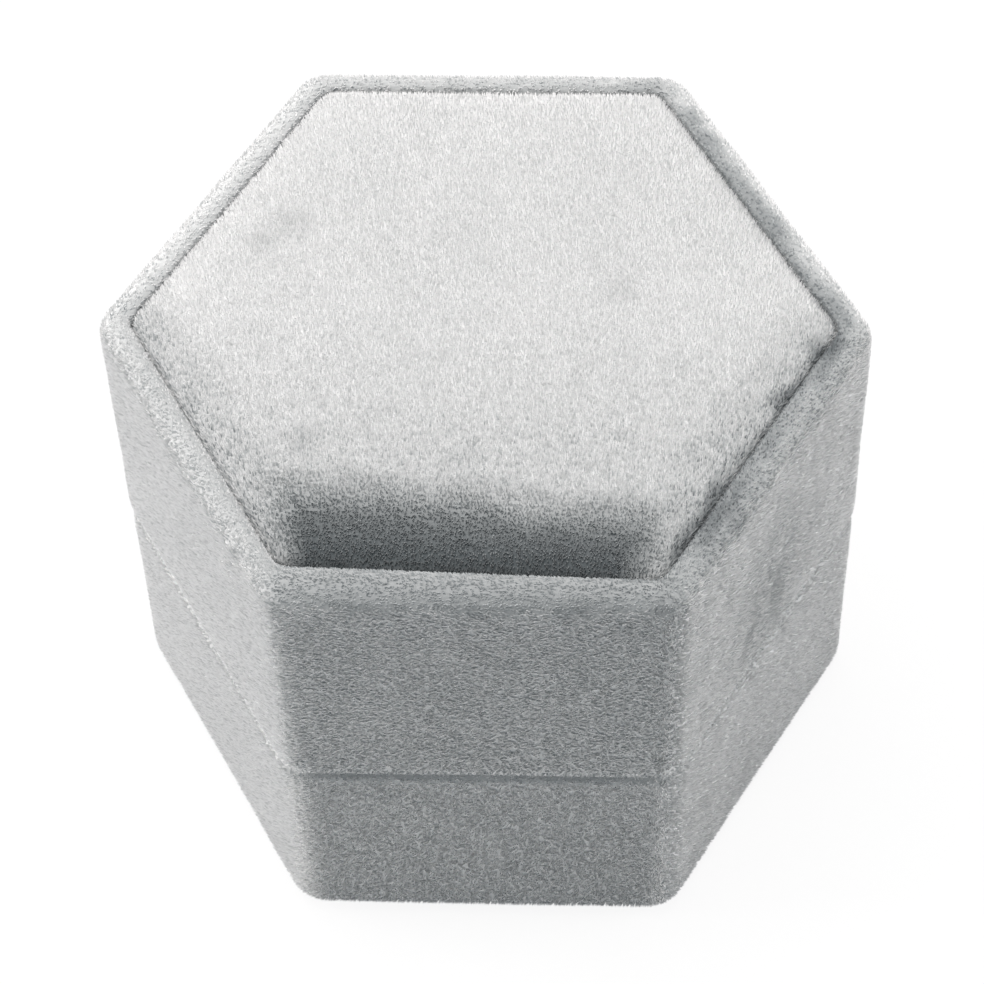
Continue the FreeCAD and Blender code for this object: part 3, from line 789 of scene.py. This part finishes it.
def makeLidPad(v):
    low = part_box("lid_pad_velvet")[0][2]
    sides = list(v["sides"].items())
    front = v["sides"][v["frontAngle"]]
    rings = [ringOf(sides, v["tuck"], v["corner"], low, **fineRing),
             ringOf(sides, 0, v["corner"], low + v["lip"], **fineRing),
             ringOf(sides, 0, v["corner"], v["edgeLevel"] - v["lip"], **fineRing)]
    for step in range(v["rings"] + 1):
        share = step / v["rings"]
        inset = v["shoulder"] * share
        level = v["edgeLevel"] + (v["topLevel"] - v["edgeLevel"]) * (1 - (1 - share) ** 2)
        rings.append(ringOf(sides, inset, v["corner"] + v["growth"] * inset, level, **fineRing))
    for ring in rings[2:]:
        sag = np.clip((-v["sagFrom"] - ring[:, 1]) / (front - v["sagFrom"]), 0, 1) ** 2
        ring[:, 2] -= v["frontSag"] * sag
    pad = makePad("lidPadVelvet", rings, v, velvetGround)

    points = pointsOf(pad)

    def fromSide(angle):  # how far each point is from a side's edge
        turn = math.radians(angle)
        return v["sides"][angle] - points[:, 0] * math.cos(turn) - points[:, 1] * math.sin(turn)

    uneven = noiseOver(points, v["unevenSize"]) * v["uneven"]
    fromFront = fromSide(v["frontAngle"])
    halfSide = front * math.tan(math.pi / 6)
    reach = np.interp(points[:, 0], [-halfSide, halfSide], [v["brushedLeft"], v["brushedRight"]])
    brushed = np.clip((reach + uneven - fromFront) / v["blend"] + 0.5, 0, 1)
    rubbedAndShaded = spotted(points, v["spots"])
    rubbedAndShaded += v["frontShade"] * np.clip(1 - fromFront / (v["frontPast"] + front), 0, 1)
    rubbedAndShaded += v["rearShade"] * np.clip(points[:, 1] / v["rearBlend"] + 0.5, 0, 1)
    fleck = v["frontFleck"] * np.clip(-points[:, 1] / v["fleckReach"], 0, 1)
    for angle, rubbed in v["rubbed"].items():
        toSide = fromSide(angle)
        brushed *= np.clip((toSide + v["endUneven"] * uneven) / rubbed["end"] - v["endFrom"], 0, 1)
        near = np.clip((rubbed["wide"] + uneven - toSide) / v["blend"] + 0.5, 0, 1)
        rubbedAndShaded += rubbed["open"] * near
        # painted shade along the rubbed edge next to the groove
        atEdge = np.clip(v["edgeFrom"] - (toSide + v["edgeUneven"] * uneven) / v["edge"], 0, 1)
        rubbedAndShaded += rubbed["edgeShade"] * atEdge
        fleck += rubbed["fleck"] * near
    # painted shade: the brushed strip darkens toward the front edge, and darker still in the groove
    nearness = np.clip(1 - fromFront / reach, 0, 1)
    rubbedAndShaded = np.maximum(rubbedAndShaded, brushed * (v["farStripShade"] + (v["nearStripShade"] - v["farStripShade"]) * nearness))
    inGroove = np.clip(v["grooveFrom"] - fromFront / v["groove"], 0, 1)
    rubbedAndShaded += (v["grooveShade"] - v["nearStripShade"]) * inGroove * brushed
    nap = np.zeros_like(points)
    nap[:, 1] = v["napBack"] + (v["napForward"] - v["napBack"]) * brushed
    trim = np.where(points[:, 2] < v["edgeLevel"] - v["frontSag"] - v["sideBelow"], v["sideTrim"], 1.0)
    fields = {"nap": nap, "trim": trim, "open": rubbedAndShaded, "fleck": fleck * (1 - brushed)}
    setPile(pad, open=rubbedAndShaded)
    for count, name in enumerate(("Front", "Rear")):
        padPile(pad, "lidPadPile" + name,
                lambda c: c[2] > low + v["pileFrom"] and (c[1] <= 0) == (name == "Front"),
                fields, "lid", "grey_velvet", v["seed"] + count, **v["look"])
    coverPad(pad, "lid", ["lid_pad_velvet", "lid_pad_foam"])


makeLidPad(lidPad)
print("lid pad made")


# Ring rolls: three velvet-covered foam rolls, with a slot for a ring on each side of the middle one
ringRolls = {"edge": 19.0 * mm, "slotSide": 7.2 * mm, "middleSide": 5.8 * mm, "corner": 1.0 * mm,
             "bottom": 5.6 * mm, "tuck": 0.3 * mm, "lip": 0.6 * mm, "shoulderWide": 3 * mm,
             "shoulderHigh": 3 * mm, "topPile": 0.3 * mm, "steps": 8, "voxel": 0.9 * mm, "heldHeight": 2 * mm,
             "pressure": 4, "cap": 0.35 * mm, "fill": 0.9, "nap": -0.6, "pileFrom": 11 * mm, "seed": 81}


def makeRolls(v):
    edge = v["edge"]
    outlines = {
        "Front": [(90, -v["slotSide"]), (210, edge), (270, edge), (330, edge)],
        "Middle": [(30, edge), (90, v["middleSide"]), (150, edge),
                   (210, edge), (270, v["middleSide"]), (330, edge)],
        "Rear": [(30, edge), (90, edge), (150, edge), (270, -v["slotSide"])]}
    for count, (name, sides) in enumerate(outlines.items()):
        stem = "ring_roll_" + name.lower()
        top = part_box(stem + "_velvet")[1][2] - v["topPile"]
        shoulder = top - v["shoulderHigh"]
        rings = [ringOf(sides, v["tuck"], v["corner"], v["bottom"], **plainRing),
                 ringOf(sides, 0, v["corner"], v["bottom"] + v["lip"], **plainRing),
                 *shoulderRings(sides, v, shoulder, v["shoulderHigh"], 0, plainRing)]
        roll = makePad("ringRoll" + name, rings, v, velvetGround)
        fields = plainFields(pointsOf(roll), 0, v["nap"])
        setPile(roll, open=fields["open"])
        padPile(roll, "ringRollPile" + name, lambda c: c[2] > v["pileFrom"], fields, "base", "grey_velvet",
                v["seed"] + count, **insidePile)
        coverPad(roll, "base", [stem + "_velvet", stem + "_foam"])


makeRolls(ringRolls)
print("ring rolls made")


# Riser foam: a plain cut slab under the ring insert
riser = {"edge": 19.6 * mm, "corner": 1.0 * mm, "low": 2.55 * mm, "high": 4.45 * mm, "round": 0.3 * mm,
         "voxel": 0.9 * mm, "heldHeight": 1.0 * mm, "pressure": 4, "cap": 0.05 * mm, "fill": 1.0}


def makeRiser(v):
    sides = hexagon(v["edge"])
    rings = [ringOf(sides, inset, v["corner"], level, **plainRing)
             for inset, level in ((v["round"], v["low"]), (0, v["low"] + v["round"]),
                                  (0, v["high"] - v["round"]), (v["round"], v["high"]))]
    slab = makePad("riserFoam", rings, v, whiteFoam)
    coverPad(slab, "base", ["insert_riser_foam"])


makeRiser(riser)
print("riser foam made")


# Ceiling pad: thin foam on card under velvet inside the lid, made crown up and then turned over
ceilingPad = {"side": 21.3 * mm, "corner": 2.2 * mm, "held": 36.45 * mm, "edgeDrop": 1.0 * mm,
              "shoulderWide": 2.5 * mm, "bottomPile": 0.35 * mm, "pileFrom": 0.6 * mm, "steps": 8,
              "voxel": 0.9 * mm, "heldHeight": 0.8 * mm, "pressure": 4, "cap": 0.2 * mm, "fill": 0.8,
              "nap": 0.6, "seed": 91}


def makeCeiling(v):
    depth = v["held"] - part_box("lid_ceiling_velvet")[0][2] - v["bottomPile"]
    sides = hexagon(v["side"])
    rings = [ringOf(sides, 0, v["corner"], 0, **fineRing),
             *shoulderRings(sides, v, v["edgeDrop"], depth - v["edgeDrop"], 1, fineRing)]
    pad = makePad("lidCeilingPad", rings, v, velvetGround)
    points = pointsOf(pad)
    points[:, 2] = v["held"] - points[:, 2]
    pad.data.vertices.foreach_set("co", points.ravel())
    pad.data.flip_normals()
    pad.data.update()
    fields = plainFields(points, 1, v["nap"])
    setPile(pad, open=fields["open"])
    padPile(pad, "lidCeilingPile", lambda c: c[2] < v["held"] - v["pileFrom"], fields, "lid", "lining_velvet",
            v["seed"], **liningPile)
    coverPad(pad, "lid", ["lid_ceiling_velvet", "lid_ceiling_foam"])


makeCeiling(ceilingPad)
print("ceiling pad made")


# The boards keep their CAD shape
for name in ("lid_wall_board", "lid_top_board", "lid_pad_board", "lid_ceiling_board",
             "base_wall_board", "base_bottom_board", "neck_board", "insert_board"):
    for slot in nodes[name].material_slots:
        slot.material = greyBoard
print("boards finished")

pieceSizes = {piece.name: sum(len(p.vertices) - 2 for p in piece.data.polygons)
              for piece in bpy.data.objects if piece.type == "MESH"}
largest = max(pieceSizes, key=pieceSizes.get)
print("triangles", sum(pieceSizes.values()), "largest", largest, pieceSizes[largest])


# Floor, light and camera
paperFloor = {"colour": "#f4f4f4", "reach": 1.5, "whiteShare": 0.9}  # how much white the camera sees


def makeFloor(v):
    material, tree = startMaterial("paperFloor")
    path = addNode(tree, "ShaderNodeLightPath")
    matte = addNode(tree, "ShaderNodeBsdfDiffuse", {"Color": srgb(v["colour"])})
    glow = addNode(tree, "ShaderNodeEmission", {"Color": (1, 1, 1, 1), "Strength": 1.0})
    white = addNode(tree, "ShaderNodeMath", {
        0: path.outputs["Is Camera Ray"], 1: v["whiteShare"]}, operation="MULTIPLY")
    mixed = addNode(tree, "ShaderNodeMixShader", {
        0: white.outputs[0], 1: matte.outputs[0], 2: glow.outputs[0]})
    addNode(tree, "ShaderNodeOutputMaterial", {"Surface": mixed.outputs[0]})
    reach = v["reach"]
    floor = newPiece("floor", [(-reach, -reach, 0), (reach, -reach, 0), (reach, reach, 0), (-reach, reach, 0)],
                     [(0, 1, 2, 3)], [material])


softboxColour = "#fffaf7"
softboxes = {"softboxAbove": {"at": (-0.05, 0.06, 0.45), "size": 0.35, "power": 1.87},
             "softboxLeft": {"at": (-0.45, 0.03, 0.15), "size": 0.3, "power": 2.52},
             "softboxRight": {"at": (0.45, 0.03, 0.15), "size": 0.3, "power": 1.47}}


def addSoftbox(name, v):  # a round lamp turned towards the foot of the box
    lamp = bpy.data.lights.new(name, "AREA")
    lamp.shape = "DISK"
    lamp.size = v["size"]
    lamp.energy = v["power"]
    lamp.color = srgb(softboxColour)[:3]
    holder = bpy.data.objects.new(name, lamp)
    holder.location = v["at"]
    aim = -np.array(v["at"])
    tilt = math.atan2(math.hypot(aim[0], aim[1]), -aim[2])
    holder.rotation_euler = (tilt, 0, math.atan2(aim[0], -aim[1]) + math.pi)
    bpy.context.scene.collection.objects.link(holder)


def makeWorld(colour, strength):  # a cool fill for the object, and plain white for the camera
    world = bpy.data.worlds.new("studio")
    world.use_nodes = True
    tree = world.node_tree
    tree.nodes.clear()
    path = addNode(tree, "ShaderNodeLightPath")
    seen = addNode(tree, "ShaderNodeMath", {
        0: path.outputs["Is Camera Ray"], 1: path.outputs["Is Glossy Ray"]}, operation="MAXIMUM")
    seen = addNode(tree, "ShaderNodeMath", {
        0: seen.outputs[0], 1: path.outputs["Is Transmission Ray"]}, operation="MAXIMUM")
    fill = addNode(tree, "ShaderNodeBackground", {"Color": srgb(colour), "Strength": strength})
    white = addNode(tree, "ShaderNodeBackground", {"Color": (1, 1, 1, 1), "Strength": 1.0})
    mixed = addNode(tree, "ShaderNodeMixShader", {
        0: seen.outputs[0], 1: fill.outputs[0], 2: white.outputs[0]})
    addNode(tree, "ShaderNodeOutputWorld", {"Surface": mixed.outputs[0]})
    bpy.context.scene.world = world


makeFloor(paperFloor)
makeWorld("#e9f6ff", strength=0.352)
for name, softbox in softboxes.items():
    addSoftbox(name, softbox)

view = {"lens": 126.6, "sensor": 36, "clip": 0.01, "at": (0.00935, -0.15074, 0.23390),
        "turned": (35.428, 1.264, 1.725)}
cameraData = bpy.data.cameras.new("camera")
cameraData.lens = view["lens"]
cameraData.sensor_width = view["sensor"]
cameraData.clip_start = view["clip"]
camera = bpy.data.objects.new("camera", cameraData)
camera.location = view["at"]
camera.rotation_euler = [math.radians(a) for a in view["turned"]]
bpy.context.scene.collection.objects.link(camera)
bpy.context.scene.camera = camera
bpy.context.scene.view_settings.view_transform = "Standard"
print("floor, light and camera set")
